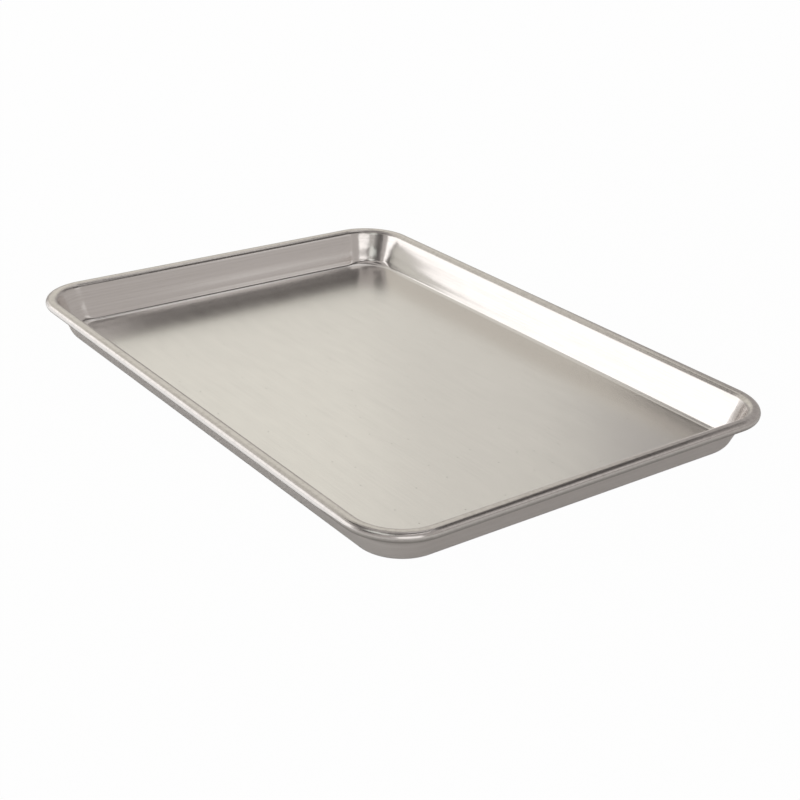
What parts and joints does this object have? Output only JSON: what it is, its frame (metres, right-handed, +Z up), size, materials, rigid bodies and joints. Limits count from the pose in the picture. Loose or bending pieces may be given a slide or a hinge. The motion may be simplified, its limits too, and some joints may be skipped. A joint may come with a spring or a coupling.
{
  "type": "jelly roll pan",
  "caption": "Shallow rectangular sheet pan with rounded corners, leaning walls and a rim rolled over a wire, for sheet cakes, biscuits and roasting.",
  "frame": {"origin": "middle of the footprint, at the height of the table that the pan stands on", "axes": "+X along the pan's length, +Y across its width, +Z up out of the open top"},
  "size_m": [0.395, 0.284, 0.0254],
  "materials": {
    "pan_aluminium": "satin, uncoated drawn sheet",
    "wire_steel": "dull galvanised"
  },
  "bodies": {
    "root": {"pan_shell": "pan_aluminium", "rim_wire": "wire_steel"}
  },
  "joints": []
}
